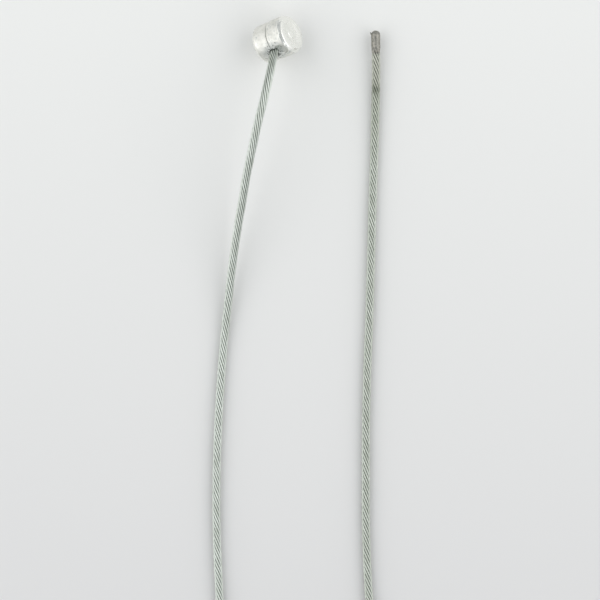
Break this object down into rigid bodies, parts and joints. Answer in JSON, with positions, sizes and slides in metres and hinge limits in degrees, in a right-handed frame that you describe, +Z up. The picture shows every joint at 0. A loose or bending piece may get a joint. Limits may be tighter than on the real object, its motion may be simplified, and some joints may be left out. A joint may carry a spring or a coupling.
{
  "type": "inner brake cable",
  "caption": "Stranded steel inner brake cable with a cast barrel nipple on one end and a fused bare tip on the other, its spare length wound in a tied coil.",
  "frame": {"origin": "on the table under the middle of the barrel nipple", "axes": "+Z up from the table, +Y from the coil to the nipple, +X to the side of the free end"},
  "size_m": [0.0314, 0.1479, 0.0121],
  "materials": {
    "cast_zinc": "zinc die casting as cast, slightly rough",
    "strand_steel": "drawn and galvanised steel wire",
    "darkened_steel": "steel darkened by heat",
    "tie_plastic": "smooth pale plastic over a thin wire"
  },
  "bodies": {
    "root": {"nipple": "cast_zinc", "splayed_root": "strand_steel", "head_stretch": "strand_steel", "coil": "strand_steel", "tail_stretch": "strand_steel", "fused_tip": "darkened_steel", "coil_tie_left": "tie_plastic", "coil_tie_right": "tie_plastic"}
  },
  "joints": []
}
